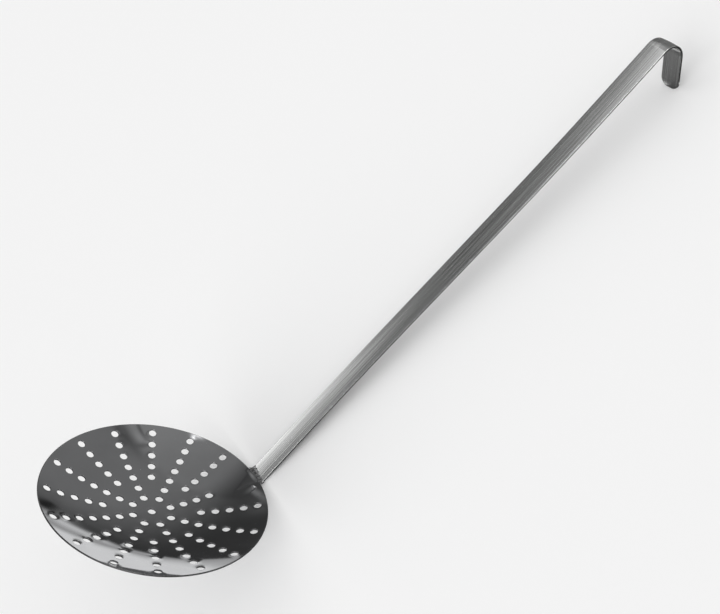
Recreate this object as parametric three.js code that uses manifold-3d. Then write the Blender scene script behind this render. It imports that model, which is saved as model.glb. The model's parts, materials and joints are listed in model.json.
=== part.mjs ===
// Skimmer: a shallow bowl of perforated sheet steel on a long flat strap handle that ends in a hanging hook.
// Millimetres, +Z up. The tool lies on a table the way it settles by itself: on the bend at the handle's
// foot and on the tip of the hook, with the handle along +X and the bowl's open side facing up and along +X.
import * as THREE from 'three';
import { mergeGeometries, mergeVertices } from 'three/addons/utils/BufferGeometryUtils.js';
import Module from 'manifold-3d';

const wasm = await Module();
wasm.setup();

// Driving dimensions of the bowl, a spherical cap measured at the middle of its sheet
const RIM_DIAMETER = 160;
const BOWL_DEPTH = 16;
const SHEET_THICKNESS = 1.2;
const RIM_CHAMFER = 0.3;

// Driving dimensions of the holes, which are laid out along the sheet from the middle of the bowl
const HOLE_DIAMETER = 5.5;
const SPOKE_COUNT = 16;
const FIRST_RING = 14.4;
const RING_PITCH = 10.1;
const RIM_LAND = 4;

// Driving dimensions of the handle, one strap from the tab behind the bowl to the tip of the hook
const STRAP_THICKNESS = 2.2;
const STRAP_WIDTH_AT_FOOT = 15.8;
const STRAP_WIDTH_AT_HOOK = 17.8;
const STRAP_CHAMFER = 0.4;
const TAB_LENGTH = 28;
const TAB_CORNER_RADIUS = 6;
const FOOT_BEND_RADIUS = 3;
const SHANK_ANGLE = THREE.MathUtils.degToRad(54.2);
const SHANK_LENGTH = 428;
const SHANK_SAG = 1.1;
const SHANK_SWAY = 1.25;
const HOOK_RADIUS = 10.7;
const HOOK_BEND = THREE.MathUtils.degToRad(122.5);
const HOOK_TIP_LENGTH = 28.2;
const TIP_CORNER_RADIUS = 6.4;

// Driving dimensions of the dressed weld bead between the rim and the strap
const WELD_FAR_RISE = 4.5;
const WELD_FAR_REACH = 1.6;
const WELD_NEAR_RISE = 2;
const WELD_NEAR_REACH = 0.9;
const WELD_DEPTH = 1.5;
const WELD_FEATHER = 0.2;

// Clearance kept between pieces that are welded face to face
const FIT_GAP = 0.3;

// Fineness of the round forms
const BOWL_SIDES = 64;
const BOWL_ROWS = 4;
const HOLE_SIDES = 8;
const CORNER_STEPS = 5;
const TAB_STEPS = 4;
const FOOT_STEPS = 5;
const SHANK_STEPS = 12;
const HOOK_STEPS = 14;
const WELD_CURVE_STEPS = 5;

// The sphere that the bowl's sheet follows, with its centre above the bowl
const rimRadius = RIM_DIAMETER / 2;
const sphereRadius = (rimRadius ** 2 + BOWL_DEPTH ** 2) / (2 * BOWL_DEPTH);
const sphereHeight = sphereRadius - BOWL_DEPTH;
const rimAngle = Math.asin(rimRadius / sphereRadius);

// A point in the plane of the handle, at a radius and angle about the sphere's centre
function onSphere(radius, angle) {
  return new THREE.Vector2(radius * Math.sin(angle), sphereHeight - radius * Math.cos(angle));
}

function direction(heading) {
  return new THREE.Vector2(Math.cos(heading), Math.sin(heading));
}

// The side of the strap or sheet that faces the bowl's open side
function frontNormal(heading) {
  return new THREE.Vector2(-Math.sin(heading), Math.cos(heading));
}

function fractions(steps) {
  return Array.from({ length: steps + 1 }, (_, i) => i / steps);
}

// Turns a closed geometry into a solid that can be joined and cut
function solid(geometry) {
  const bare = geometry.clone();
  bare.deleteAttribute('normal');
  bare.deleteAttribute('uv');
  const merged = mergeVertices(bare, 1e-4);
  const index = merged.index.array;
  const triangles = [];
  for (let i = 0; i < index.length; i += 3) {
    const [a, b, c] = index.slice(i, i + 3);
    if (a !== b && b !== c && c !== a) triangles.push(a, b, c);
  }
  return new wasm.Manifold(new wasm.Mesh({
    numProp: 3,
    vertProperties: new Float32Array(merged.attributes.position.array),
    triVerts: new Uint32Array(triangles),
  }));
}

// Turns a solid back into a geometry
function surface(body) {
  const { vertProperties, triVerts } = body.getMesh();
  const geometry = new THREE.BufferGeometry();
  geometry.setAttribute('position', new THREE.BufferAttribute(vertProperties, 3));
  geometry.setIndex(new THREE.BufferAttribute(triVerts, 1));
  geometry.computeVertexNormals();
  return geometry;
}

// The bowl's sheet without holes, grown all round by an allowance
function sheetGeometry(allowance) {
  const inside = sphereRadius - SHEET_THICKNESS / 2 - allowance;
  const outside = sphereRadius + SHEET_THICKNESS / 2 + allowance;
  const edgeAngle = rimAngle + allowance / sphereRadius;
  const chamferAngle = edgeAngle - RIM_CHAMFER / sphereRadius;
  const profile = [
    ...fractions(BOWL_ROWS).map((k) => onSphere(outside, k * chamferAngle)),
    onSphere(outside - RIM_CHAMFER, edgeAngle),
    onSphere(inside + RIM_CHAMFER, edgeAngle),
    ...fractions(BOWL_ROWS).map((k) => onSphere(inside, (1 - k) * chamferAngle)),
  ];
  profile[0].x = 0;
  profile[profile.length - 1].x = 0;
  return new THREE.LatheGeometry(profile, BOWL_SIDES).rotateX(Math.PI / 2);
}

// True where the strap's tab lies behind the sheet, so that no hole is punched there
function coveredByTab(arc, spokeAngle) {
  const tabStart = rimAngle * sphereRadius - TAB_LENGTH;
  const along = arc * Math.cos(spokeAngle) + HOLE_DIAMETER / 2;
  const across = Math.abs(arc * Math.sin(spokeAngle)) - HOLE_DIAMETER / 2;
  return along > tabStart && across < STRAP_WIDTH_AT_FOOT / 2;
}

// Holes as [distance along the sheet, angle round the bowl]. Every spoke has a hole on the rings where the
// spokes are a pitch or more apart; nearer the middle only every second spoke has one.
function holePlaces() {
  const places = [[0, 0]];
  const lastRing = rimAngle * sphereRadius - RIM_LAND - HOLE_DIAMETER / 2;
  for (let arc = FIRST_RING; arc <= lastRing; arc += RING_PITCH) {
    const spokeSpacing = (2 * Math.PI * sphereRadius * Math.sin(arc / sphereRadius)) / SPOKE_COUNT;
    const stride = spokeSpacing < RING_PITCH ? 2 : 1;
    for (let spoke = 0; spoke < SPOKE_COUNT; spoke += stride) {
      const angle = (2 * Math.PI * spoke) / SPOKE_COUNT;
      if (!coveredByTab(arc, angle)) places.push([arc, angle]);
    }
  }
  return places;
}

// One punch through the sheet, square to it
function holeCutter([arc, spokeAngle]) {
  const length = 4 * SHEET_THICKNESS;
  const punch = new THREE.CylinderGeometry(HOLE_DIAMETER / 2, HOLE_DIAMETER / 2, length, HOLE_SIDES);
  punch.rotateX(Math.PI / 2);
  punch.translate(0, 0, -sphereRadius);
  punch.rotateY(-arc / sphereRadius);
  punch.rotateZ(spokeAngle);
  punch.translate(0, 0, sphereHeight);
  return punch;
}

function bowlGeometry() {
  const punches = mergeGeometries(holePlaces().map(holeCutter));
  return surface(solid(sheetGeometry(0)).subtract(solid(punches)));
}

// Stretches of the strap's middle line. Each has a length and gives its place and heading at a distance;
// a positive turn bends towards the front.
function arcStretch(start, heading, radius, turn) {
  const side = Math.sign(turn);
  const centre = start.clone().addScaledVector(frontNormal(heading), side * radius);
  const at = (distance) => {
    const turned = heading + (side * distance) / radius;
    return { place: centre.clone().addScaledVector(frontNormal(turned), -side * radius), heading: turned };
  };
  return { length: radius * Math.abs(turn), centre, at };
}

function straightStretch(start, heading, length) {
  const at = (distance) => ({ place: start.clone().addScaledVector(direction(heading), distance), heading });
  return { length, at };
}

// The shank keeps a slight sag and sway off its straight line
function shankSlope(fraction) {
  const sag = -SHANK_SAG * Math.PI * Math.cos(Math.PI * fraction);
  const sway = SHANK_SWAY * 2 * Math.PI * Math.cos(2 * Math.PI * fraction);
  return Math.atan((sag + sway) / SHANK_LENGTH);
}

function shankStretch(start) {
  const at = (distance) => {
    const fraction = distance / SHANK_LENGTH;
    const offset = SHANK_SWAY * Math.sin(2 * Math.PI * fraction) - SHANK_SAG * Math.sin(Math.PI * fraction);
    const place = start.clone().addScaledVector(direction(SHANK_ANGLE), distance);
    place.addScaledVector(frontNormal(SHANK_ANGLE), offset);
    return { place, heading: SHANK_ANGLE + shankSlope(fraction) };
  };
  return { length: SHANK_LENGTH, at };
}

function endOf(stretch) {
  return stretch.at(stretch.length);
}

// The strap's middle line: tab against the back of the bowl, foot bend at the rim, shank, hook and tip
const tabRadius = sphereRadius + SHEET_THICKNESS / 2 + FIT_GAP + STRAP_THICKNESS / 2;
const tabTurn = TAB_LENGTH / tabRadius;
const tab = arcStretch(onSphere(tabRadius, rimAngle - tabTurn), rimAngle - tabTurn, tabRadius, tabTurn);
const footTurn = SHANK_ANGLE + shankSlope(0) - rimAngle;
const foot = arcStretch(endOf(tab).place, rimAngle, FOOT_BEND_RADIUS + STRAP_THICKNESS / 2, footTurn);
const shank = shankStretch(endOf(foot).place);
const hook = arcStretch(endOf(shank).place, endOf(shank).heading, HOOK_RADIUS + STRAP_THICKNESS / 2, -HOOK_BEND);
const tip = straightStretch(endOf(hook).place, endOf(hook).heading, HOOK_TIP_LENGTH);
const stretches = [[tab, TAB_STEPS], [foot, FOOT_STEPS], [shank, SHANK_STEPS], [hook, HOOK_STEPS], [tip, 1]];
const strapLength = stretches.reduce((sum, [stretch]) => sum + stretch.length, 0);
const shankStart = tab.length + foot.length;

function strapAt(distance) {
  let left = distance;
  for (const [stretch] of stretches) {
    if (left <= stretch.length || stretch === tip) return stretch.at(left);
    left -= stretch.length;
  }
}

// Width lost on each side to a rounded corner, at a distance from the strap's end
function cornerLoss(fromEnd, radius) {
  const reach = Math.max(radius - fromEnd, 0);
  return radius - Math.sqrt(radius ** 2 - reach ** 2);
}

function halfWidthAt(distance) {
  const along = THREE.MathUtils.clamp((distance - shankStart) / SHANK_LENGTH, 0, 1);
  const width = THREE.MathUtils.lerp(STRAP_WIDTH_AT_FOOT, STRAP_WIDTH_AT_HOOK, along);
  const tabLoss = cornerLoss(distance, TAB_CORNER_RADIUS);
  return width / 2 - tabLoss - cornerLoss(strapLength - distance, TIP_CORNER_RADIUS);
}

// Distances along the strap at which its section is set: each stretch's steps and the rounded ends
function strapStations() {
  const corner = fractions(CORNER_STEPS).map((k) => 1 - Math.cos((k * Math.PI) / 2));
  const stations = [
    ...corner.map((k) => k * TAB_CORNER_RADIUS),
    ...corner.map((k) => strapLength - k * TIP_CORNER_RADIUS),
  ];
  let start = 0;
  for (const [stretch, steps] of stretches) {
    for (const k of fractions(steps)) stations.push(start + k * stretch.length);
    start += stretch.length;
  }
  const closest = STRAP_THICKNESS / 20;
  stations.sort((a, b) => a - b);
  return stations.filter((station, i) => i === 0 || station - stations[i - 1] > closest);
}

// A closed body through rings of points, capped flat at both ends
function loft(rings) {
  const count = rings[0].length;
  const triangles = [];
  for (let row = 0; row + 1 < rings.length; row += 1) {
    for (let i = 0; i < count; i += 1) {
      const a = row * count + i;
      const b = row * count + ((i + 1) % count);
      triangles.push(a, b + count, b, a, a + count, b + count);
    }
  }
  const last = (rings.length - 1) * count;
  for (let i = 1; i + 1 < count; i += 1) {
    triangles.push(0, i, i + 1, last, last + i + 1, last + i);
  }
  const geometry = new THREE.BufferGeometry().setFromPoints(rings.flat());
  geometry.setIndex(triangles);
  geometry.computeVertexNormals();
  return geometry;
}

// The strap's section at a station, a flat bar with broken edges, grown all round by an allowance
function strapRing(distance, allowance) {
  const { place, heading } = strapAt(distance);
  const up = frontNormal(heading);
  const b = halfWidthAt(distance) + allowance;
  const h = STRAP_THICKNESS / 2 + allowance;
  const c = STRAP_CHAMFER;
  const section = [
    [b - c, h], [b, h - c], [b, c - h], [b - c, -h],
    [c - b, -h], [-b, c - h], [-b, h - c], [c - b, h],
  ];
  return section.map(([y, lift]) => new THREE.Vector3(place.x + up.x * lift, y, place.y + up.y * lift));
}

function strapGeometry(allowance) {
  return loft(strapStations().map((station) => strapRing(station, allowance)));
}

// The weld bead is drawn in the foot's own frame: s runs up the strap and lift stands off its front face,
// both from the middle of the front face where the foot bend ends.
const footFront = endOf(foot).place.clone().addScaledVector(frontNormal(SHANK_ANGLE), STRAP_THICKNESS / 2);

function inFootFrame(point) {
  const offset = point.clone().sub(footFront);
  return new THREE.Vector2(offset.dot(direction(SHANK_ANGLE)), offset.dot(frontNormal(SHANK_ANGLE)));
}

function footMatrix(xAxis, yAxis, zAxis) {
  const matrix = new THREE.Matrix4().makeBasis(xAxis, yAxis, zAxis);
  return matrix.setPosition(footFront.x, 0, footFront.y);
}

// Side view of the bead: it fills the step from the rim's inner edge down to the strap
function weldProfile() {
  const rimInside = inFootFrame(onSphere(sphereRadius - SHEET_THICKNESS / 2, rimAngle));
  const rimOutside = inFootFrame(onSphere(sphereRadius + SHEET_THICKNESS / 2, rimAngle));
  const feather = FIT_GAP + WELD_FEATHER;
  const profile = new THREE.Shape();
  profile.moveTo(rimOutside.x, -WELD_DEPTH);
  profile.lineTo(WELD_FAR_RISE, -WELD_DEPTH);
  profile.lineTo(WELD_FAR_RISE, feather);
  profile.quadraticCurveTo((rimInside.x + WELD_FAR_RISE) / 2, feather, rimInside.x, rimInside.y);
  profile.lineTo(rimOutside.x, rimInside.y);
  return profile;
}

// Front view of the bead: it runs further up the strap on the far side, and out along the rim on both
function weldOutline() {
  const edge = STRAP_WIDTH_AT_FOOT / 2;
  const low = inFootFrame(onSphere(sphereRadius, rimAngle)).x - SHEET_THICKNESS;
  const hollow = 0.2;
  const outline = new THREE.Shape();
  outline.moveTo(low, -edge - WELD_NEAR_REACH);
  outline.lineTo(0, -edge - WELD_NEAR_REACH);
  outline.quadraticCurveTo(hollow * WELD_NEAR_RISE, -edge - hollow * WELD_NEAR_REACH, WELD_NEAR_RISE, -edge);
  outline.lineTo(WELD_FAR_RISE, edge);
  outline.quadraticCurveTo(hollow * WELD_FAR_RISE, edge + hollow * WELD_FAR_REACH, 0, edge + WELD_FAR_REACH);
  outline.lineTo(low, edge + WELD_FAR_REACH);
  return outline;
}

function weldGeometry() {
  const along = new THREE.Vector3(Math.cos(SHANK_ANGLE), 0, Math.sin(SHANK_ANGLE));
  const off = new THREE.Vector3(-Math.sin(SHANK_ANGLE), 0, Math.cos(SHANK_ANGLE));
  const across = new THREE.Vector3(0, 1, 0);
  const span = 2 * STRAP_WIDTH_AT_FOOT + WELD_FAR_REACH;
  const sideView = new THREE.ExtrudeGeometry(weldProfile(), {
    depth: span, bevelEnabled: false, curveSegments: WELD_CURVE_STEPS,
  });
  sideView.translate(0, 0, -span / 2).applyMatrix4(footMatrix(along, off, across.clone().negate()));
  const height = 4 * (SHEET_THICKNESS + STRAP_THICKNESS);
  const frontView = new THREE.ExtrudeGeometry(weldOutline(), {
    depth: height, bevelEnabled: false, curveSegments: WELD_CURVE_STEPS,
  });
  frontView.translate(0, 0, -height / 2).applyMatrix4(footMatrix(along, across, off));
  const bead = solid(sideView).intersect(solid(frontView));
  return surface(bead.subtract(solid(strapGeometry(FIT_GAP))).subtract(solid(sheetGeometry(FIT_GAP))));
}

function piece(name, geometry, color, roughness) {
  const mesh = new THREE.Mesh(geometry, new THREE.MeshStandardMaterial({ color, roughness, metalness: 1 }));
  mesh.name = name;
  return mesh;
}

// How far the tool leans over from a level rim until the foot bend and the hook's tip both touch the table
function restingLean() {
  const { place, heading } = endOf(tip);
  const tipEdge = place.clone().addScaledVector(frontNormal(heading), STRAP_THICKNESS / 2);
  const reach = tipEdge.sub(foot.centre);
  return reach.angle() + Math.asin((FOOT_BEND_RADIUS + STRAP_THICKNESS) / reach.length());
}

const tool = new THREE.Group();
tool.add(piece('bowl', bowlGeometry(), 0x8e9093, 0.12));
tool.add(piece('handle', strapGeometry(0), 0xa9aaa8, 0.36));
tool.add(piece('rim_weld', weldGeometry(), 0x7f8081, 0.2));
tool.rotation.y = restingLean();

// The origin is the middle of the underside of the space that the tool takes up
const box = new THREE.Box3().setFromObject(tool, true);
const middle = box.getCenter(new THREE.Vector3());
tool.position.set(-middle.x, 0, -box.min.z);

const skimmer = new THREE.Group();
skimmer.add(tool);

export default skimmer;
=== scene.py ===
# Dresses the skimmer: a polished perforated bowl, a brushed strap handle and the dressed weld between them.
import json
import math
import bpy
import numpy as np
from mathutils import Matrix, Vector, geometry


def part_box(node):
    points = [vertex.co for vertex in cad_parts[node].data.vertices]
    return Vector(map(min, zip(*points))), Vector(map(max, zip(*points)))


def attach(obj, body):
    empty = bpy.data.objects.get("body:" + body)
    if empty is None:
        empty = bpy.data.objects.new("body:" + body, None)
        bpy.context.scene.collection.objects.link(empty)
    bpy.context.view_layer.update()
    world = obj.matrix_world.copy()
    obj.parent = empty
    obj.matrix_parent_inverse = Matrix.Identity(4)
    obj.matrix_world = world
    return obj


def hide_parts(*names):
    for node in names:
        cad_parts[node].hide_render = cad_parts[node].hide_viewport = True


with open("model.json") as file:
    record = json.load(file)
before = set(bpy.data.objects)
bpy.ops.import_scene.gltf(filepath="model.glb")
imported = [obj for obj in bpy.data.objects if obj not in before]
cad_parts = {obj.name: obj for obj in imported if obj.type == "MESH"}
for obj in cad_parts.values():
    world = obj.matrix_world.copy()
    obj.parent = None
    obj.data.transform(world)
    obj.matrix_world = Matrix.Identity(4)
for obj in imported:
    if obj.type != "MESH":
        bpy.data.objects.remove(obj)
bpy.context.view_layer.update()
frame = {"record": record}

# Sizes in millimetres and angles in radians, the same as in the construction
MM = 0.001
RIM_DIAMETER = 160
BOWL_DEPTH = 16
SHEET_THICKNESS = 1.2
HOLE_DIAMETER = 5.5
SPOKE_COUNT = 16
FIRST_RING = 14.4
RING_PITCH = 10.1
RIM_LAND = 4
STRAP_THICKNESS = 2.2
STRAP_WIDTH_AT_FOOT = 15.8
STRAP_WIDTH_AT_HOOK = 17.8
TAB_LENGTH = 28
TAB_CORNER_RADIUS = 6
FOOT_BEND_RADIUS = 3
SHANK_ANGLE = math.radians(54.2)
SHANK_LENGTH = 428
SHANK_SAG = 1.1
SHANK_SWAY = 1.25
HOOK_RADIUS = 10.7
HOOK_BEND = math.radians(122.5)
HOOK_TIP_LENGTH = 28.2
TIP_CORNER_RADIUS = 6.4
WELD_FAR_RISE = 4.5
WELD_FAR_REACH = 1.6
WELD_NEAR_RISE = 2
WELD_NEAR_REACH = 0.9
WELD_DEPTH = 1.5
FIT_GAP = 0.3

# Finer sizes that only show up close, and the steps in which edges are rounded and slopes are taken
RIM_EDGE_RADIUS = 0.4
HOLE_EDGE_RADIUS = 0.3
STRAP_EDGE_RADIUS = 0.45
WELD_EDGE_RADIUS = 0.08
STRAP_CROWN = 0.3
EDGE_STEPS = 3
SLOPE_STEP = 0.05

# The photograph in pixels, and the camera's film and place in millimetres and its directions
PHOTO_WIDTH = 720
FOCAL_PIXELS = 1107.5
SENSOR_WIDTH = 36
CAMERA_PLACE = Vector((-59.1, -522.2, 641.3))
CAMERA_RIGHT = Vector((0.7272, -0.5302, -0.4360))
CAMERA_UP = Vector((0.6853, 0.5230, 0.5068))

# Sphere of the bowl's sheet, with its centre above the bowl
RIM_RADIUS = RIM_DIAMETER / 2
SPHERE_RADIUS = (RIM_RADIUS ** 2 + BOWL_DEPTH ** 2) / (2 * BOWL_DEPTH)
SPHERE_HEIGHT = SPHERE_RADIUS - BOWL_DEPTH
RIM_ANGLE = math.asin(RIM_RADIUS / SPHERE_RADIUS)
RIM_ARC = SPHERE_RADIUS * RIM_ANGLE


def mix(low, high, share):
    return low + (high - low) * share


def smooth_step(start, end, value):
    share = np.clip((value - start) / (end - start), 0, 1)
    return share * share * (3 - 2 * share)


# Directions in the plane of the handle, as (x, z)
def direction(heading):
    return np.stack([np.cos(heading), np.sin(heading)], axis=-1)


def front_normal(heading):
    return np.stack([-np.sin(heading), np.cos(heading)], axis=-1)


def on_sphere(radius, angle):
    return np.array([radius * math.sin(angle), SPHERE_HEIGHT - radius * math.cos(angle)])


# Stretches of the strap's middle line: a length, and a place and heading at distances along it
def arc_stretch(start, heading, radius, turn):
    side = math.copysign(1, turn)
    centre = start + side * radius * front_normal(heading)

    def at(distance):
        turned = heading + side * distance / radius
        return centre - side * radius * front_normal(turned), turned

    return radius * abs(turn), at


def straight_stretch(start, heading, length):
    def at(distance):
        distance = np.asarray(distance, float)
        return start + distance[..., None] * direction(heading), np.full(distance.shape, heading)

    return length, at


def shank_slope(share):
    sag = -SHANK_SAG * math.pi * np.cos(math.pi * share)
    sway = SHANK_SWAY * 2 * math.pi * np.cos(2 * math.pi * share)
    return np.arctan((sag + sway) / SHANK_LENGTH)


def shank_stretch(start):
    def at(distance):
        distance = np.asarray(distance, float)
        share = distance / SHANK_LENGTH
        offset = SHANK_SWAY * np.sin(2 * math.pi * share) - SHANK_SAG * np.sin(math.pi * share)
        along = distance[..., None] * direction(SHANK_ANGLE)
        return start + along + offset[..., None] * front_normal(SHANK_ANGLE), SHANK_ANGLE + shank_slope(share)

    return SHANK_LENGTH, at


def end_of(stretch):
    length, at = stretch
    return at(length)


# The strap's stretches: the tab behind the bowl, the foot bend, the shank, the hook's bend and the tip
TAB_RADIUS = SPHERE_RADIUS + SHEET_THICKNESS / 2 + FIT_GAP + STRAP_THICKNESS / 2
TAB_TURN = TAB_LENGTH / TAB_RADIUS
tab = arc_stretch(on_sphere(TAB_RADIUS, RIM_ANGLE - TAB_TURN), RIM_ANGLE - TAB_TURN, TAB_RADIUS, TAB_TURN)
foot_turn = SHANK_ANGLE + shank_slope(0) - RIM_ANGLE
foot = arc_stretch(end_of(tab)[0], RIM_ANGLE, FOOT_BEND_RADIUS + STRAP_THICKNESS / 2, foot_turn)
shank = shank_stretch(end_of(foot)[0])
hook = arc_stretch(*end_of(shank), HOOK_RADIUS + STRAP_THICKNESS / 2, -HOOK_BEND)
tip = straight_stretch(*end_of(hook), HOOK_TIP_LENGTH)
STRETCHES = [tab, foot, shank, hook, tip]
STRAP_LENGTH = sum(length for length, at in STRETCHES)
SHANK_START = tab[0] + foot[0]
FOOT_FRONT = end_of(foot)[0] + front_normal(SHANK_ANGLE) * STRAP_THICKNESS / 2


def strap_line(distance):
    place = np.empty((len(distance), 2))
    heading = np.empty(len(distance))
    start = 0
    for length, at in STRETCHES:
        here = distance >= start
        place[here], heading[here] = at(distance[here] - start)
        start += length
    return place, heading


def strap_half_width(distance):
    along = np.clip((distance - SHANK_START) / SHANK_LENGTH, 0, 1)
    return mix(STRAP_WIDTH_AT_FOOT, STRAP_WIDTH_AT_HOOK, along) / 2


# Forms that a flat blank is pressed into: from distances u, v on the blank and a lift off it towards the
# front, they give the place and the directions of u, v and lift there.
def form_bowl(u, v, lift):
    angle = np.hypot(u, v) / SPHERE_RADIUS
    turn = np.arctan2(v, u)
    flat = np.zeros_like(u)
    outward = np.stack([np.cos(turn), np.sin(turn), flat], axis=-1)
    tangent = np.stack([-np.sin(turn), np.cos(turn), flat], axis=-1)
    up = np.array([0, 0, 1])
    out = np.cos(angle)[:, None] * up - np.sin(angle)[:, None] * outward
    radial = np.cos(angle)[:, None] * outward + np.sin(angle)[:, None] * up
    along_u = np.cos(turn)[:, None] * radial - np.sin(turn)[:, None] * tangent
    along_v = np.sin(turn)[:, None] * radial + np.cos(turn)[:, None] * tangent
    place = SPHERE_HEIGHT * up - (SPHERE_RADIUS - lift)[:, None] * out
    return place, along_u, along_v, out


def in_handle_plane(pair, y):
    return np.stack([pair[..., 0], y, pair[..., 1]], axis=-1)


# A form along a line in the handle's plane
def form_along(middle, heading, v, lift):
    level = np.zeros_like(v)
    along_u = in_handle_plane(direction(heading), level)
    out = in_handle_plane(front_normal(heading), level)
    along_v = np.broadcast_to(np.array([0, 1, 0]), out.shape)
    return in_handle_plane(middle, v) + lift[:, None] * out, along_u, along_v, out


def form_strap(u, v, lift):
    return form_along(*strap_line(u), v, lift)


# The foot's own frame: u runs up the strap and lift stands off its front face where the foot bend ends
def form_foot(u, v, lift):
    heading = np.full(len(u), SHANK_ANGLE)
    return form_along(FOOT_FRONT + u[:, None] * direction(heading), heading, v, lift)


# Loops of a blank are points with the direction that leads off the metal, with the metal on their left
def circle_loop(centre, radius, sides, way):
    angles = way * np.linspace(0, 2 * math.pi, sides, endpoint=False)
    spokes = direction(angles)
    return centre + radius * spokes, way * spokes


def edge_profile(half_thickness, radius):
    """Steps round an edge from the front face to the back: inset, lift, and the normal's way off and up."""
    turns = np.linspace(0, math.pi / 2, EDGE_STEPS + 1)
    front = [
        (radius * (1 - math.sin(t)), half_thickness - radius * (1 - math.cos(t)), math.sin(t), math.cos(t))
        for t in turns
    ]
    back = [(inset, -lift, off, -up) for inset, lift, off, up in reversed(front)]
    return front + back


# What Blender's triangulation is asked for: every triangle, and points this close taken as one
ALL_TRIANGLES = 0
SAME_POINT = 1e-6


def blank_triangles(rings, inner):
    """Triangles between the rings of a flat blank, over the rings' points and then the inner points."""
    points = np.concatenate([*rings, inner])
    edges = []
    loop_of = np.full(len(points), -1)
    start = 0
    for number, ring in enumerate(rings):
        count = len(ring)
        edges += [(start + i, start + (i + 1) % count) for i in range(count)]
        loop_of[start:start + count] = number
        start += count
    flat = [Vector(point) for point in points]
    triangles = np.array(geometry.delaunay_2d_cdt(flat, edges, [], ALL_TRIANGLES, SAME_POINT)[2])
    # A triangle with all corners on one loop lies off the metal if it runs against that loop
    lowest = np.argmin(triangles, axis=1)
    rows = np.arange(len(triangles))
    second = triangles[rows, (lowest + 1) % 3]
    third = triangles[rows, (lowest + 2) % 3]
    corner_loops = loop_of[triangles]
    one_loop = (corner_loops[:, 0] >= 0) & (corner_loops == corner_loops[:, :1]).all(axis=1)
    return points, triangles[~(one_loop & (second > third))]


def formed_sheet(name, loops, inner, half_thickness, form, relief, to_row):
    """A closed body of sheet metal: a flat blank with rounded edges, pressed into a form.
    loops are (points, ways off the metal, edge radius); relief(u, v, side) is the height that the surface
    stands off the form, where side runs from 1 on the front to -1 on the back."""
    # The front and back faces come first, then rows of points round each edge; spread lays the edges out flat
    rings = [points - radius * off for points, off, radius in loops]
    face_points, triangles = blank_triangles(rings, inner)
    count = len(face_points)
    flat_normal = np.tile([0.0, 0.0, 1.0], (count, 1))
    uv = [face_points, face_points]
    spread = [face_points, face_points]
    lift = [np.full(count, half_thickness), np.full(count, -half_thickness)]
    normal = [flat_normal, -flat_normal]
    wall_share = [np.zeros(count), np.zeros(count)]
    faces = [*triangles.tolist(), *(triangles[:, ::-1] + count).tolist()]
    start = 0
    added = 2 * count
    for points, off, radius in loops:
        sides = len(points)
        rows = [start + np.arange(sides)]
        travelled = 0
        profile = edge_profile(half_thickness, radius)
        for before, (inset, height, away, up) in zip(profile, profile[1:-1]):
            travelled += math.hypot(inset - before[0], height - before[1])
            uv.append(points - inset * off)
            spread.append(points + (travelled - radius) * off)
            lift.append(np.full(sides, height))
            normal.append(np.column_stack([away * off, np.full(sides, up)]))
            wall_share.append(np.full(sides, away ** 2))
            rows.append(added + np.arange(sides))
            added += sides
        rows.append(count + start + np.arange(sides))
        for upper, lower in zip(rows, rows[1:]):
            quads = np.column_stack([upper, lower, np.roll(lower, -1), np.roll(upper, -1)])
            faces += quads.tolist()
        start += sides
    u, v = np.concatenate(uv).T
    lift = np.concatenate(lift)
    normal = np.concatenate(normal)
    side = lift / half_thickness
    slope_u = (relief(u + SLOPE_STEP, v, side) - relief(u - SLOPE_STEP, v, side)) / (2 * SLOPE_STEP)
    slope_v = (relief(u, v + SLOPE_STEP, side) - relief(u, v - SLOPE_STEP, side)) / (2 * SLOPE_STEP)
    place, along_u, along_v, out = form(u, v, lift + relief(u, v, side))
    tilt_u = normal[:, 0] - normal[:, 2] * slope_u
    tilt_v = normal[:, 1] - normal[:, 2] * slope_v
    pressed = tilt_u[:, None] * along_u + tilt_v[:, None] * along_v + normal[:, 2:] * out
    return make_mesh(name, place, pressed, faces, np.concatenate(spread), np.concatenate(wall_share), to_row)


def make_mesh(name, place, normal, faces, spread, wall_share, to_row):
    mesh = bpy.data.meshes.new(name)
    mesh.from_pydata(place.tolist(), [], faces)
    corner_vertex = np.empty(len(mesh.loops), int)
    mesh.loops.foreach_get("vertex_index", corner_vertex)
    layer = mesh.uv_layers.new(name="sheet")
    layer.data.foreach_set("uv", (spread[corner_vertex] * MM).ravel())
    mesh.attributes.new("edge_wall", "FLOAT", "POINT").data.foreach_set("value", wall_share)
    mesh.transform(to_row)
    turned = normal @ np.array(to_row.to_3x3().normalized()).T
    turned /= np.linalg.norm(turned, axis=1, keepdims=True)
    mesh.shade_smooth()
    mesh.normals_split_custom_set_from_vertices(turned.tolist())
    piece = bpy.data.objects.new(name, mesh)
    bpy.context.scene.collection.objects.link(piece)
    return piece


# Points along the strap that its lie on the table is measured with
LIE_POINTS = 2000


# The tool leans over from a level rim until the foot bend and the hook's tip both touch the table
def resting_lean():
    place, heading = end_of(tip)
    tip_edge = place + front_normal(heading) * STRAP_THICKNESS / 2
    centre = end_of(tab)[0] + (FOOT_BEND_RADIUS + STRAP_THICKNESS / 2) * front_normal(RIM_ANGLE)
    reach = tip_edge - centre
    return math.atan2(reach[1], reach[0]) + math.asin((FOOT_BEND_RADIUS + STRAP_THICKNESS) / np.hypot(*reach))


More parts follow.
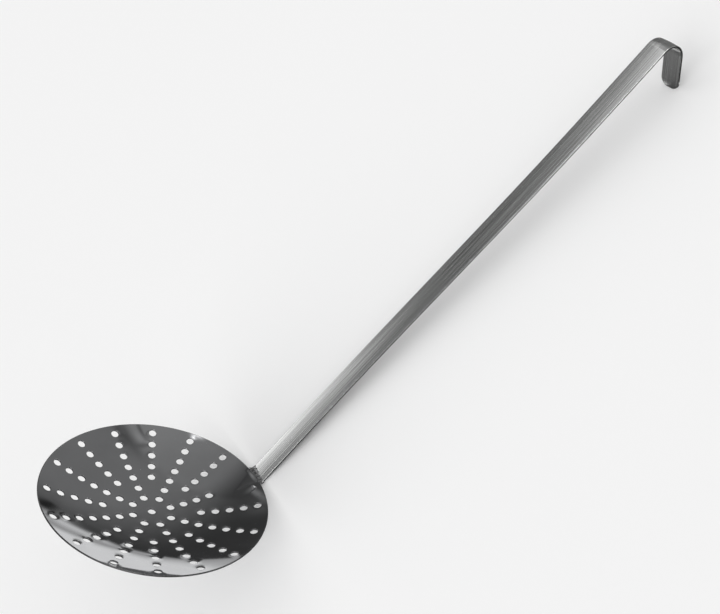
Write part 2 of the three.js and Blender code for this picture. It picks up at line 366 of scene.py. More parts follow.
def tool_to_row():
    """From the bowl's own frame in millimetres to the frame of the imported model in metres."""
    lean = Matrix.Rotation(resting_lean(), 4, "Y")
    place, heading = strap_line(np.linspace(0, STRAP_LENGTH, LIE_POINTS))
    back = place - front_normal(heading) * STRAP_THICKNESS / 2
    front = place + front_normal(heading) * STRAP_THICKNESS / 2
    surface = np.concatenate([back, front])
    leant = in_handle_plane(surface, np.zeros(len(surface))) @ np.array(lean.to_3x3()).T * MM
    low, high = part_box("handle")
    shift = Vector((high.x - leant[:, 0].max(), 0, low.z - leant[:, 2].min()))
    return Matrix.Translation(shift) @ lean @ Matrix.Scale(MM, 4)


# The bowl: how many points its loops have, and how its other points are spaced
HOLE_POINTS = 28
RIM_POINTS = 256
BOWL_SPACING = 3.0
HOLE_RING_GAPS = (0.8, 1.7)
HOLE_CLEARANCE = 2.4
RIM_CLEARANCE = 1.5
FOOT_MARK_SPACING = 0.8
FOOT_MARK_DEPTH = 22
FOOT_MARK_HALF_WIDTH = 20


def covered_by_tab(arc, angle):
    along = arc * math.cos(angle) + HOLE_DIAMETER / 2
    across = abs(arc * math.sin(angle)) - HOLE_DIAMETER / 2
    return along > RIM_ARC - TAB_LENGTH and across < STRAP_WIDTH_AT_FOOT / 2


def hole_centres():
    centres = [np.zeros(2)]
    last_ring = RIM_ARC - RIM_LAND - HOLE_DIAMETER / 2
    for arc in np.arange(FIRST_RING, last_ring, RING_PITCH):
        spacing = 2 * math.pi * SPHERE_RADIUS * math.sin(arc / SPHERE_RADIUS) / SPOKE_COUNT
        stride = 2 if spacing < RING_PITCH else 1
        for spoke in range(0, SPOKE_COUNT, stride):
            angle = 2 * math.pi * spoke / SPOKE_COUNT
            if not covered_by_tab(arc, angle):
                centres.append(arc * direction(angle))
    return np.array(centres)


HOLES = hole_centres()


def distance_to_holes(u, v):
    gap_u = u[:, None] - HOLES[None, :, 0]
    gap_v = v[:, None] - HOLES[None, :, 1]
    return np.sqrt((gap_u ** 2 + gap_v ** 2).min(axis=1)) - HOLE_DIAMETER / 2


# Marks that welding leaves over the tab: the sheet rises across the tab to a ridge along its near edge, falls
# back steeply behind the ridge's end at the rim, and is drawn up a little to the weld
RIDGE_HEIGHT = 0.7
RIDGE_LENGTH = 19
RIDGE_AT_RIM = -8
RIDGE_AT_TIP = -6
RIDGE_CORNER = (5.5, -7.5)
RIDGE_FADE = (6, 22)
CORNER_SLANT = 0.44
RISE_AT_RIM = 8
RISE_AT_TIP = -5
SHORTEST_RISE = 1
STEEP_FALL = 3.3
GENTLE_FALL = 9
GENTLER_INWARDS = (4.5, 7)
GENTLER_SIDEWAYS = (11.5, 14)
LIP_HEIGHT = 0.25
LIP_REACH = 4
LIP_SIDES = (6.5, 9)


def foot_marks(u, v):
    inwards = RIM_ARC - np.hypot(u, v)
    along = inwards / RIDGE_LENGTH
    ridge = mix(RIDGE_AT_RIM, RIDGE_AT_TIP, along)
    start = mix(RISE_AT_RIM, RISE_AT_TIP, along)
    rise = np.clip((start - v) / np.maximum(start - ridge, SHORTEST_RISE), 0, 1) ** 2
    beside = (v - ridge) / mix(STEEP_FALL, GENTLE_FALL, smooth_step(*GENTLER_INWARDS, inwards))
    before = RIDGE_CORNER[0] - inwards + CORNER_SLANT * (v - RIDGE_CORNER[1])
    before = before / mix(STEEP_FALL, GENTLE_FALL, smooth_step(*GENTLER_SIDEWAYS, -v))
    fall = smooth_step(-1, 0, np.maximum(beside, before))
    fade = 1 - smooth_step(*RIDGE_FADE, inwards)
    lip = (1 - smooth_step(0, LIP_REACH, inwards)) * (1 - smooth_step(*LIP_SIDES, np.abs(v)))
    return np.where(u > 0, RIDGE_HEIGHT * fade * rise * fall + LIP_HEIGHT * lip, 0)


# Slight waves that pressing leaves in the sheet, and the drawn-in lip of each punched hole
WAVE_HEIGHT = 0.035
WAVE_REACH = (9, 11)
WAVE_SHIFT = 0.4
WAVE_SWERVE = 0.6
WAVE_SWERVE_REACH = 13
HOLE_DIMPLE_DEPTH = 0.05
HOLE_DIMPLE_REACH = 1.1


def bowl_relief(u, v, side):
    swerve = WAVE_SWERVE * np.sin(v / WAVE_SWERVE_REACH)
    waves = WAVE_HEIGHT * np.sin(u / WAVE_REACH[0] + swerve) * np.sin(v / WAVE_REACH[1] + WAVE_SHIFT)
    lip = -HOLE_DIMPLE_DEPTH * np.exp(-(np.maximum(distance_to_holes(u, v), 0) / HOLE_DIMPLE_REACH) ** 2)
    return waves + lip + foot_marks(u, v)


def staggered_grid(spacing):
    steps = np.arange(-math.ceil(RIM_ARC / spacing), math.ceil(RIM_ARC / spacing) + 1)
    column, row = np.meshgrid(steps, steps)
    return np.column_stack([
        (column + 0.5 * (row % 2)).ravel() * spacing,
        row.ravel() * spacing * math.sqrt(3) / 2,
    ])


def over_foot_marks(points):
    return (points[:, 0] > RIM_ARC - FOOT_MARK_DEPTH) & (np.abs(points[:, 1]) < FOOT_MARK_HALF_WIDTH)


def bowl_inner_points():
    coarse = staggered_grid(BOWL_SPACING)
    fine = staggered_grid(FOOT_MARK_SPACING)
    grid = np.concatenate([coarse[~over_foot_marks(coarse)], fine[over_foot_marks(fine)]])
    rings = []
    for gap in HOLE_RING_GAPS:
        for centre in HOLES:
            rings.append(circle_loop(centre, HOLE_DIAMETER / 2 + gap, HOLE_POINTS, 1)[0])
    clear = distance_to_holes(*grid.T) > HOLE_CLEARANCE
    inside = np.hypot(*grid.T) < RIM_ARC - RIM_CLEARANCE
    return np.concatenate([grid[clear & inside], *rings])


def make_bowl(to_row):
    loops = [(*circle_loop(np.zeros(2), RIM_ARC, RIM_POINTS, 1), RIM_EDGE_RADIUS)]
    for centre in HOLES:
        loops.append((*circle_loop(centre, HOLE_DIAMETER / 2, HOLE_POINTS, -1), HOLE_EDGE_RADIUS))
    half = SHEET_THICKNESS / 2
    return formed_sheet("bowl_polished", loops, bowl_inner_points(), half, form_bowl, bowl_relief, to_row)


# The handle: how its points are spaced along the tab, foot, shank, hook and tip, and across the strap
STRETCH_SPACING = [2.0, 0.35, 4.0, 0.6, 1.5]
STRAP_COLUMNS = 11
STRAP_CLEARANCE = 1
CORNER_POINTS = 12


def strap_stations():
    stations = []
    start = 0
    for (length, at), spacing in zip(STRETCHES, STRETCH_SPACING):
        stations.append(np.linspace(start, start + length, math.ceil(length / spacing), endpoint=False))
        start += length
    return np.concatenate(stations)


def corner_arc(centre, radius, start):
    angles = start + np.linspace(0, math.pi / 2, CORNER_POINTS)
    return np.array(centre) + radius * direction(angles), direction(angles)


def strap_loop():
    stations = strap_stations()
    tip_start = STRAP_LENGTH - TIP_CORNER_RADIUS
    past_tab = stations > TAB_CORNER_RADIUS + STRAP_CLEARANCE
    before_tip = stations < tip_start - STRAP_CLEARANCE
    sides = stations[past_tab & before_tip]
    half = strap_half_width(sides)
    tab_half = STRAP_WIDTH_AT_FOOT / 2 - TAB_CORNER_RADIUS
    tip_half = STRAP_WIDTH_AT_HOOK / 2 - TIP_CORNER_RADIUS
    sideways = np.tile([0.0, 1.0], (len(sides), 1))
    stretches = [
        (np.column_stack([sides, -half]), -sideways),
        corner_arc((tip_start, -tip_half), TIP_CORNER_RADIUS, -math.pi / 2),
        corner_arc((tip_start, tip_half), TIP_CORNER_RADIUS, 0),
        (np.column_stack([sides, half])[::-1], sideways),
        corner_arc((TAB_CORNER_RADIUS, tab_half), TAB_CORNER_RADIUS, math.pi / 2),
        corner_arc((TAB_CORNER_RADIUS, -tab_half), TAB_CORNER_RADIUS, math.pi),
    ]
    points, off = zip(*stretches)
    return np.concatenate(points), np.concatenate(off), STRAP_EDGE_RADIUS


def corner_loss(from_end, radius):
    reach = np.clip(radius - from_end, 0, radius)
    return radius - np.sqrt(radius ** 2 - reach ** 2)


def strap_inner_points():
    columns = np.linspace(-1, 1, STRAP_COLUMNS + 2)[1:-1]
    station, column = np.meshgrid(strap_stations(), columns, indexing="ij")
    u = station.ravel()
    half = strap_half_width(u)
    v = column.ravel() * half
    room = half - corner_loss(u, TAB_CORNER_RADIUS) - corner_loss(STRAP_LENGTH - u, TIP_CORNER_RADIUS)
    clear_of_sides = np.abs(v) < room - STRAP_CLEARANCE
    clear_of_ends = (u > STRAP_CLEARANCE) & (u < STRAP_LENGTH - STRAP_CLEARANCE)
    return np.column_stack([u, v])[clear_of_sides & clear_of_ends]


# Both faces of the strap are a little fuller along the middle
def strap_relief(u, v, side):
    return -side * STRAP_CROWN * (v / strap_half_width(u)) ** 2


def make_handle(to_row):
    half = STRAP_THICKNESS / 2
    inner = strap_inner_points()
    return formed_sheet("handle_brushed", [strap_loop()], inner, half, form_strap, strap_relief, to_row)


# The weld bead, drawn over the foot: it runs further up the strap on the far side, and out along the rim
WELD_POINTS = 60
WELD_ROWS = 12
WELD_CLEAR_COLUMNS = 2
WELD_HALF = 0.5
WELD_SINK = 0.04
WELD_LAP = 1.0

# How far from the middle the weld follows the fall of the strap's crown, in half widths of the strap
WELD_CROWN_REACH = 1.3

# Ripples along the weld's upper edge: height, radians per millimetre and shift
WELD_RIPPLES = [(0.3, 1.7, 0.8), (0.15, 3.9, 0)]


def weld_start(v):
    """How far up the strap and off its face the weld starts, on the bowl's sheet just inside the rim."""
    arc = RIM_ARC - WELD_LAP
    raised = foot_marks(np.sqrt(arc ** 2 - v ** 2), v)
    radius = SPHERE_RADIUS - SHEET_THICKNESS / 2 - raised + WELD_SINK
    reach = radius * math.sin(arc / SPHERE_RADIUS)
    height = SPHERE_HEIGHT - radius * math.cos(arc / SPHERE_RADIUS)
    start = np.stack([np.sqrt(reach ** 2 - v ** 2), height], axis=-1) - FOOT_FRONT
    return start @ direction(SHANK_ANGLE), start @ front_normal(SHANK_ANGLE)


def weld_top(v):
    edge = STRAP_WIDTH_AT_FOOT / 2
    across = mix(WELD_NEAR_RISE, WELD_FAR_RISE, np.clip((v + edge) / (2 * edge), 0, 1))
    beyond = np.clip((v - edge) / WELD_FAR_REACH, 0, 1) + np.clip((-edge - v) / WELD_NEAR_REACH, 0, 1)
    uneven = sum(height * np.sin(rate * v + shift) for height, rate, shift in WELD_RIPPLES)
    return (across + uneven) * (1 - beyond) ** 2


def weld_relief(u, v, side):
    start, start_lift = weld_start(v)
    across = np.minimum(np.abs(v) * 2 / STRAP_WIDTH_AT_FOOT, WELD_CROWN_REACH)
    strap_face = -STRAP_CROWN * across ** 2 - WELD_SINK
    share = np.clip((u - start) / (weld_top(v) - start), 0, 1)
    surface = mix(strap_face, start_lift, (1 - share) ** 2)
    return mix(WELD_HALF - WELD_DEPTH, surface - WELD_HALF, (side + 1) / 2)


def make_weld(to_row):
    edge = STRAP_WIDTH_AT_FOOT / 2
    across = np.linspace(-edge - WELD_NEAR_REACH, edge + WELD_FAR_REACH, WELD_POINTS)
    upper = weld_top(across)
    lower = weld_start(across)[0]
    outline = np.concatenate([np.column_stack([upper, across]), np.column_stack([lower, across])[::-1]])
    ahead = np.roll(outline, -1, axis=0) - np.roll(outline, 1, axis=0)
    off = np.column_stack([ahead[:, 1], -ahead[:, 0]]) / np.linalg.norm(ahead, axis=1, keepdims=True)
    shares = np.linspace(0, 1, WELD_ROWS + 2)[1:-1]
    lines = [np.column_stack([mix(lower, upper, share), across]) for share in shares]
    inner = np.concatenate([line[WELD_CLEAR_COLUMNS:-WELD_CLEAR_COLUMNS] for line in lines])
    loops = [(outline, off, WELD_EDGE_RADIUS)]
    return formed_sheet("rim_weld_dressed", loops, inner, WELD_HALF, form_foot, weld_relief, to_row)


# Materials: tones are shares of the slot's colour, a noise has its cells per metre of sheet and its detail,
# and a span is the part of a noise that is spread over the tones or values
SLOT_COLOURS = {entry["slot"]: entry["base_color"] for entry in frame["record"]["materials"]}
NOISE_SPAN = (0.3, 0.7)
HAZE_NOISE = ((35, 35, 1), 4)
POLISHED_TONES = (1.02, 1.12)
POLISHED_ROUGHNESS = (0.025, 0.06)
GRIT_NOISE = ((900, 900, 1), 2)
# The bowl's hole walls and rim edge take near-black tones: partly a dull punched finish, partly painted shade
# in the narrow holes and along the rim
PUNCHED_AND_SHADED_TONES = (0.06, 0.16)
PUNCHED_ROUGHNESS = (0.22, 0.34)
STREAK_NOISE = ((9, 1150, 1), 6)
STREAK_SPAN = (0.36, 0.64)
STREAK_DEPTH = 0.000012
BRUSHED_TONES = (0.74, 1.14)
BRUSHED_ROUGHNESS = (0.21, 0.27)
WORN_ROUGHNESS = (0.07, 0.11)
BRUSHED_ANISOTROPY = 0.5
QUARTER_TURN = 0.25
SCRATCH_NOISE = ((1800, 160, 1), 3)
SCRATCH_DEPTH = 0.00001
GROUND_TONES = (0.85, 1.1)
GROUND_ROUGHNESS = (0.14, 0.26)


def new_material(name):
    material = bpy.data.materials.new(name)
    material.use_nodes = True
    nodes = material.node_tree.nodes
    shader = nodes["Principled BSDF"]
    shader.inputs["Metallic"].default_value = 1
    return material, nodes, material.node_tree.links, shader


def stretched_noise(nodes, links, vector, scale, detail):
    mapping = nodes.new("ShaderNodeMapping")
    mapping.inputs["Scale"].default_value = scale
    links.new(vector, mapping.inputs["Vector"])
    noise = nodes.new("ShaderNodeTexNoise")
    noise.inputs["Scale"].default_value = 1
    noise.inputs["Detail"].default_value = detail
    links.new(mapping.outputs["Vector"], noise.inputs["Vector"])
    return noise.outputs["Fac"]


def sheet_coordinates(nodes):
    uv = nodes.new("ShaderNodeUVMap")
    uv.uv_map = "sheet"
    return uv.outputs["UV"]


def edge_share(nodes):
    edge = nodes.new("ShaderNodeAttribute")
    edge.attribute_name = "edge_wall"
    return edge.outputs["Fac"]


def tone_between(nodes, links, factor, span, colour, tones):
    ramp = nodes.new("ShaderNodeValToRGB")
    for element, position, tone in zip(ramp.color_ramp.elements, span, tones):
        element.position = position
        element.color = (*(channel * tone for channel in colour), 1)
    links.new(factor, ramp.inputs["Fac"])
    return ramp.outputs["Color"]


def value_between(nodes, links, factor, values):
    spread = nodes.new("ShaderNodeMapRange")
    for name, value in zip(("From Min", "From Max", "To Min", "To Max"), (*NOISE_SPAN, *values)):
        spread.inputs[name].default_value = value
    links.new(factor, spread.inputs["Value"])
    return spread.outputs["Result"]


def add_bump(nodes, links, height, shader, distance):
    bump = nodes.new("ShaderNodeBump")
    bump.inputs["Strength"].default_value = 1
    bump.inputs["Distance"].default_value = distance
    links.new(height, bump.inputs["Height"])
    links.new(bump.outputs["Normal"], shader.inputs["Normal"])


def mixed_by(nodes, links, factor, data_type, first, second):
    blend = nodes.new("ShaderNodeMix")
    blend.data_type = data_type
    links.new(factor, blend.inputs["Factor"])
    sockets = [socket for socket in blend.inputs if socket.enabled and socket.name in ("A", "B")]
    for socket, source in zip(sockets, (first, second)):
        links.new(source, socket)
    return next(socket for socket in blend.outputs if socket.enabled)


def polished_material():
    material, nodes, links, shader = new_material("polished_steel")
    base = SLOT_COLOURS["polished_sheet"]
    sheet = sheet_coordinates(nodes)
    haze = stretched_noise(nodes, links, sheet, *HAZE_NOISE)
    grit = stretched_noise(nodes, links, sheet, *GRIT_NOISE)
    wall_share = edge_share(nodes)
    polished = tone_between(nodes, links, haze, NOISE_SPAN, base, POLISHED_TONES)
    # Painted shade mixed with the punched finish on the hole walls and the rim's edge
    punched_and_shaded = tone_between(nodes, links, grit, NOISE_SPAN, base, PUNCHED_AND_SHADED_TONES)
    tone = mixed_by(nodes, links, wall_share, "RGBA", polished, punched_and_shaded)
    links.new(tone, shader.inputs["Base Color"])
    smooth = value_between(nodes, links, haze, POLISHED_ROUGHNESS)
    dull = value_between(nodes, links, grit, PUNCHED_ROUGHNESS)
    links.new(mixed_by(nodes, links, wall_share, "FLOAT", smooth, dull), shader.inputs["Roughness"])
    return material


def brushed_material():
    material, nodes, links, shader = new_material("brushed_steel")
    base = SLOT_COLOURS["brushed_strap"]
    sheet = sheet_coordinates(nodes)
    streaks = stretched_noise(nodes, links, sheet, *STREAK_NOISE)
    tone = tone_between(nodes, links, streaks, STREAK_SPAN, base, BRUSHED_TONES)
    links.new(tone, shader.inputs["Base Color"])
    brushed = value_between(nodes, links, streaks, BRUSHED_ROUGHNESS)
    worn = value_between(nodes, links, streaks, WORN_ROUGHNESS)
    roughness = mixed_by(nodes, links, edge_share(nodes), "FLOAT", brushed, worn)
    links.new(roughness, shader.inputs["Roughness"])
    shader.inputs["Anisotropic"].default_value = BRUSHED_ANISOTROPY
    shader.inputs["Anisotropic Rotation"].default_value = QUARTER_TURN
    tangent = nodes.new("ShaderNodeTangent")
    tangent.direction_type = "UV_MAP"
    tangent.uv_map = "sheet"
    links.new(tangent.outputs["Tangent"], shader.inputs["Tangent"])
    add_bump(nodes, links, streaks, shader, STREAK_DEPTH)
    return material


def weld_material():
    material, nodes, links, shader = new_material("ground_weld")
    base = SLOT_COLOURS["dressed_weld"]
    sheet = sheet_coordinates(nodes)
    scratches = stretched_noise(nodes, links, sheet, *SCRATCH_NOISE)
    tone = tone_between(nodes, links, scratches, NOISE_SPAN, base, GROUND_TONES)
    links.new(tone, shader.inputs["Base Color"])
    links.new(value_between(nodes, links, scratches, GROUND_ROUGHNESS), shader.inputs["Roughness"])
    add_bump(nodes, links, scratches, shader, SCRATCH_DEPTH)
    return material


def dress(piece, node, material):
    piece.data.materials.append(material)
    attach(piece, "root")
    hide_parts(node)


# The studio, in metres
FLOOR_SIZE = 24.0
FLOOR_COLOUR = (0.93, 0.93, 0.93, 1)
FLOOR_ROUGHNESS = 0.9
FLOOR_SPECULAR = 0.1
HORIZON_GLOW = 0.91
ZENITH_GLOW = 0.65
CLIP_START = 0.01

# Wide soft lamps: azimuth and elevation in degrees, and strength
LAMP_SPREAD = math.radians(55)
LAMPS = {
    "key_light": (122, 50, 0.22),
    "low_fill": (195, 30, 1.15),
}

# The dim room that the metal mirrors: its radius and the height of the eye in metres, and in degrees the step
# of its mesh and the azimuth that the others are counted from
SURROUND_RADIUS = 40.0
EYE_HEIGHT = 0.08
SURROUND_STEP = 0.5
SEAM_AZIMUTH = -130

# Brightness of the room's sides, and the degrees over which one side turns into the next
LIT_WALL = 0.2
DIM_WALL = 0.045
WALL_TURN = (34, 58)
CEILING_BY_HANDLE = 0.28
CEILING_AHEAD = 0.22
CEILING_FADE = (5, 40)
DIM_CEILING = 0.06
CEILING_TURN = (38, 50)
CEILING_LINE = (21, 24.5)
BACK_WALL = 0.14
BACK_TURN = (62, 85)
# The handle's painted shadow: the table card is darkened below and beside the handle, on the camera's side,
# where the strap's near side mirrors it
HANDLE_SHADOW = 0.05
HANDLE_SHADOW_TURN = (-3, 6)
HANDLE_SHADOW_LINE = (-2, 2)

# The dark card on the table beyond the tool, a glowing sheet that only reflections see, in metres: its edge
# near the bowl, along which it fades into the pale floor, its edge past the foot and on the camera's side of
# the handle, where it carries the handle's painted shadow, an opening below the hook, and the headings in
# degrees that its far edge spans
CARD_NEAR_EDGE = [
    (-0.2, 0.165), (-0.13, 0.206), (-0.104, 0.214), (-0.117, 0.187),
    (-0.13, 0.162), (-0.15, 0.117), (-0.157, 0.088),
]
CARD_BACK_EDGE = [(-0.157, 0.0), (-0.18, -0.02), (-0.18, -0.12), (0.4, -0.12)]
CARD_OPENING = [
    (0.252, 0.005), (0.264, 0.005), (0.264, -0.014),
    (0.31, -0.014), (0.31, 0.033), (0.252, 0.033),
]
CARD_HEADINGS = (-2, 115)
CARD_HEIGHT = 0.001
CARD_FADE = 0.03
DARKEST_SHADE = 0.02

# How the card's points are spaced: rings round the bowl, and a finer grid where the bowl mirrors it
CARD_FIRST_REACH = 0.04
CARD_RINGS = 26
CARD_COLUMNS = 120
CARD_FAR_POINTS = 20
CARD_FINE_STEP = 0.0037
CARD_FINE_AREA = ((-0.2, 0.08), (0.06, 0.29))

# Lighter and darker patches on that card: middle, heading in degrees, how long and wide they fade, brightness
TABLE_PATCHES = [
    (-0.07, 0.2285, 27, 0.03, 0.008, 0.42),
    (-0.048, 0.239, 26, 0.02, 0.006, 0.5),
    (0.0, 0.2625, 26, 0.03, 0.0045, 0.14),
    (0.01, 0.256, 26, 0.04, 0.005, -0.14),
]

# Soft panels: azimuth, elevation, how wide and how high they fade, in degrees, and brightness
PANELS = [
    (108, 30, 10.5, 14, 2.2),
    (65, 60, 8, 17, 1.5),
    (17.5, 41.8, 2.4, 1.3, 2.0),
    (-76, 50, 8, 18, 8.0),
    (-118, 50, 10, 18, 4.0),
    (59, 20, 4, 4, 0.05),
    (10.5, 25, 2.6, 1.1, 0.07),
    (200, 40, 45, 25, 1.0),
]

# Glowing cards close to the hook, seen only in reflections and given like the panels: one lights the start of
# its bend, one makes a highlight on the bend's near edge
HOOK_CARDS = {
    "bend_glow_card": (50, 38, 12, 12, 0.62),
    "edge_highlight_card": (-48, 39, 11, 9, 8.0),
}
HOOK_CARD_SPAN = 22
HOOK_CARD_STEP = 1
HOOK_CARD_DISTANCE = 0.1

# Dark things in the room, given like the panels, with the share of the light that they take
DARK_SPOTS = [
    (8, 21.2, 9, 2.4, 0.5),
    (14, 24.5, 1.2, 2.2, 0.4),
    (7, 26.6, 5, 0.5, 0.6),
    (91, 50, 6, 20, 0.35),
]


def shade_material(name):
    material = bpy.data.materials.new(name)
    material.use_nodes = True
    nodes = material.node_tree.nodes
    nodes.clear()
    shade = nodes.new("ShaderNodeAttribute")
    shade.attribute_name = "shade"
    glow = nodes.new("ShaderNodeEmission")
    output = nodes.new("ShaderNodeOutputMaterial")
    material.node_tree.links.new(shade.outputs["Fac"], glow.inputs["Strength"])
    material.node_tree.links.new(glow.outputs["Emission"], output.inputs["Surface"])
    material.cycles.emission_sampling = "NONE"
    return material


def soft_spot(spot, azimuth, elevation):
    middle, height, wide, high, strength = spot
    aside = (azimuth - middle + 180) % 360 - 180
    return strength * np.exp(-(aside / wide) ** 2 - ((elevation - height) / high) ** 2)


# How bright the dim room round the tool looks, by direction from the bowl in degrees
def surround_shade(azimuth, elevation):
    wall = mix(LIT_WALL, DIM_WALL, smooth_step(*WALL_TURN, azimuth))
    ceiling = mix(CEILING_BY_HANDLE, CEILING_AHEAD, smooth_step(*CEILING_FADE, azimuth))
    ceiling = mix(ceiling, DIM_CEILING, smooth_step(*CEILING_TURN, azimuth))
    behind = mix(DIM_WALL, BACK_WALL, smooth_step(*BACK_TURN, azimuth))
    shade = np.maximum(mix(wall, ceiling, smooth_step(*CEILING_LINE, elevation)), behind)
    # Painted shadow of the handle on the table card
    in_handle_shadow = 1 - smooth_step(*HANDLE_SHADOW_TURN, azimuth)
    shade = mix(shade, HANDLE_SHADOW, in_handle_shadow * (1 - smooth_step(*HANDLE_SHADOW_LINE, elevation)))
    for spot in DARK_SPOTS:
        shade = shade * (1 - soft_spot(spot, azimuth, elevation))
    for panel in PANELS:
        shade = shade + soft_spot(panel, azimuth, elevation)
    return shade


def sphere_patch(eye, radius, azimuths, elevations):
    """Points on a sphere round the eye, row by row, and the faces between them, in degrees."""
    azimuth, elevation = np.meshgrid(np.radians(azimuths), np.radians(elevations))
    level = np.cos(elevation)[..., None] * direction(azimuth)
    points = eye + radius * np.concatenate([level, np.sin(elevation)[..., None]], axis=-1).reshape(-1, 3)
    index = np.arange(azimuth.size).reshape(azimuth.shape)
    corners = [index[:-1, :-1], index[:-1, 1:], index[1:, 1:], index[1:, :-1]]
    return points, np.stack(corners, axis=-1).reshape(-1, 4)


def shade_from(eye, points):
    away = points - eye
    azimuth = np.degrees(np.arctan2(away[:, 1], away[:, 0]))
    azimuth = (azimuth - SEAM_AZIMUTH) % 360 + SEAM_AZIMUTH
    elevation = np.degrees(np.arctan2(away[:, 2], np.hypot(away[:, 0], away[:, 1])))
    return surround_shade(azimuth, elevation)


def make_surround(name, points, faces, shade):
    """A glowing shell that only the metal sees."""
    mesh = bpy.data.meshes.new(name)
    mesh.from_pydata(points.tolist(), [], faces.tolist())
    mesh.attributes.new("shade", "FLOAT", "POINT").data.foreach_set("value", shade)
    mesh.materials.append(shade_material(name))
    surround = bpy.data.objects.new(name, mesh)
    bpy.context.scene.collection.objects.link(surround)
    surround.visible_camera = False
    surround.visible_diffuse = False
    surround.visible_shadow = False


def make_room(eye):
    azimuths = np.arange(0, 360 + SURROUND_STEP, SURROUND_STEP)
    elevations = np.arange(0, 90 + SURROUND_STEP, SURROUND_STEP)
    points, faces = sphere_patch(np.zeros(3), SURROUND_RADIUS, azimuths, elevations)
    make_surround("studio_room", points, faces, shade_from(eye, points))


def make_hook_card(name, card, eye):
    """A small glowing card near the hook, seen only in reflections, which fades into the room behind it."""
    steps = np.arange(-HOOK_CARD_SPAN, HOOK_CARD_SPAN, HOOK_CARD_STEP)
    azimuths = card[0] + steps
    elevations = card[1] + steps
    points, faces = sphere_patch(eye, HOOK_CARD_DISTANCE, azimuths, elevations)
    azimuth, elevation = np.meshgrid(azimuths, elevations)
    shade = surround_shade(azimuth, elevation) + soft_spot(card, azimuth, elevation)
    make_surround(name, points, faces, shade.ravel())


def inside_outline(points, corners):
    inside = np.zeros(len(points), bool)
    for (x1, y1), (x2, y2) in zip(corners, np.roll(corners, -1, axis=0)):
        spans = (points[:, 1] < y1) != (points[:, 1] < y2)
        left = points[:, 0] < x1 + (points[:, 1] - y1) * (x2 - x1) / (y2 - y1 or 1)
        inside ^= spans & left
    return inside


def table_patch(patch, points):
    x, y, heading, long, wide, strength = patch
    ahead = direction(math.radians(heading))
    away = points[:, :2] - (x, y)
    along = away @ ahead
    across = away @ (-ahead[1], ahead[0])
    return strength * np.exp(-(along / long) ** 2 - (across / wide) ** 2)


def distance_to_line(points, corners):
    nearest = np.full(len(points), np.inf)
    for start, end in zip(corners, corners[1:]):
        along = end - start
        share = np.clip((points - start) @ along / (along @ along), 0, 1)
        nearest = np.minimum(nearest, np.linalg.norm(points - start - share[:, None] * along, axis=1))
    return nearest


def make_table_card(eye):
    headings = np.radians(np.linspace(*CARD_HEADINGS, CARD_FAR_POINTS))
    outline = np.concatenate([CARD_NEAR_EDGE, CARD_BACK_EDGE, SURROUND_RADIUS * direction(headings)])
    opening = np.array(CARD_OPENING)
    reaches = np.geomspace(CARD_FIRST_REACH, SURROUND_RADIUS / 2, CARD_RINGS)
    inner = [circle_loop(eye[:2], reach, CARD_COLUMNS, 1)[0] for reach in reaches]
    fine = [np.arange(low, high, CARD_FINE_STEP) for low, high in zip(*CARD_FINE_AREA)]
    inner.append(np.stack(np.meshgrid(*fine), axis=-1).reshape(-1, 2))
    inner = np.concatenate(inner)
    inner = inner[inside_outline(inner, outline) & ~inside_outline(inner, opening)]
    flat, triangles = blank_triangles([outline, opening[::-1]], inner)
    points = np.column_stack([flat, np.full(len(flat), CARD_HEIGHT)])
    shade = shade_from(eye, points) + sum(table_patch(patch, points) for patch in TABLE_PATCHES)
    faded = smooth_step(0, CARD_FADE, distance_to_line(flat, np.array(CARD_NEAR_EDGE)))
    shade = mix(FLOOR_COLOUR[0], np.maximum(shade, DARKEST_SHADE), faded)
    make_surround("studio_table", points, triangles, shade)


def make_floor():
    bpy.ops.mesh.primitive_plane_add(size=FLOOR_SIZE)
    floor = bpy.context.object
    floor.name = "floor"
    material = bpy.data.materials.new("pale_floor")
    material.use_nodes = True
    shader = material.node_tree.nodes["Principled BSDF"]
    shader.inputs["Base Color"].default_value = FLOOR_COLOUR
    shader.inputs["Roughness"].default_value = FLOOR_ROUGHNESS
    shader.inputs["Specular IOR Level"].default_value = FLOOR_SPECULAR
    floor.data.materials.append(material)


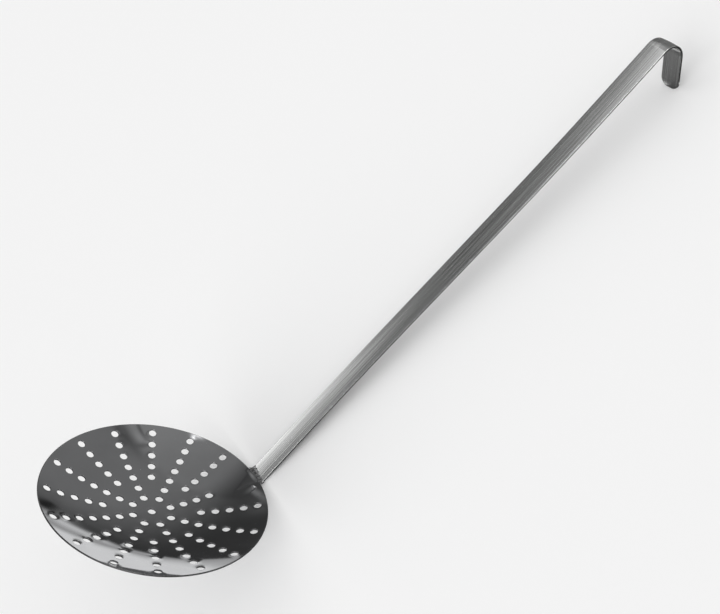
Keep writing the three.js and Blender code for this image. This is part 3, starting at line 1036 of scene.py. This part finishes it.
def make_lamp(name, azimuth, elevation, strength):
    light = bpy.data.lights.new(name, "SUN")
    light.angle = LAMP_SPREAD
    light.energy = strength
    lamp = bpy.data.objects.new(name, light)
    level = math.cos(math.radians(elevation)) * direction(math.radians(azimuth))
    lamp.location = Vector((*level, math.sin(math.radians(elevation))))
    lamp.rotation_euler = lamp.location.to_track_quat("Z", "Y").to_euler()
    lamp.visible_glossy = False
    bpy.context.scene.collection.objects.link(lamp)


def make_light():
    world = bpy.data.worlds.new("pale_studio")
    world.use_nodes = True
    nodes = world.node_tree.nodes
    links = world.node_tree.links
    place = nodes.new("ShaderNodeTexCoord")
    height = nodes.new("ShaderNodeSeparateXYZ")
    glow = nodes.new("ShaderNodeMapRange")
    glow.inputs["To Min"].default_value = HORIZON_GLOW
    glow.inputs["To Max"].default_value = ZENITH_GLOW
    links.new(place.outputs["Generated"], height.inputs["Vector"])
    links.new(height.outputs["Z"], glow.inputs["Value"])
    nodes["Background"].inputs["Color"].default_value = (1, 1, 1, 1)
    links.new(glow.outputs["Result"], nodes["Background"].inputs["Strength"])
    bpy.context.scene.world = world
    for name, lamp in LAMPS.items():
        make_lamp(name, *lamp)


def make_camera():
    data = bpy.data.cameras.new("photo_camera")
    data.sensor_fit = "HORIZONTAL"
    data.sensor_width = SENSOR_WIDTH
    data.lens = FOCAL_PIXELS * SENSOR_WIDTH / PHOTO_WIDTH
    data.clip_start = CLIP_START
    camera = bpy.data.objects.new("photo_camera", data)
    back = CAMERA_RIGHT.cross(CAMERA_UP)
    turn = Matrix((CAMERA_RIGHT, CAMERA_UP, back)).transposed()
    camera.matrix_world = Matrix.Translation(CAMERA_PLACE * MM) @ turn.to_4x4()
    bpy.context.scene.collection.objects.link(camera)
    bpy.context.scene.camera = camera


bpy.context.scene.view_settings.view_transform = "Standard"
make_camera()
make_floor()
make_light()
to_row = tool_to_row()
bowl_eye = np.array([*to_row.translation.xy, EYE_HEIGHT])
make_room(bowl_eye)
make_table_card(bowl_eye)
hook_eye = np.array(to_row @ Vector(in_handle_plane(end_of(shank)[0], 0.0)))
for card_name, hook_card in HOOK_CARDS.items():
    make_hook_card(card_name, hook_card, hook_eye)
dress(make_bowl(to_row), "bowl", polished_material())
dress(make_handle(to_row), "handle", brushed_material())
dress(make_weld(to_row), "rim_weld", weld_material())
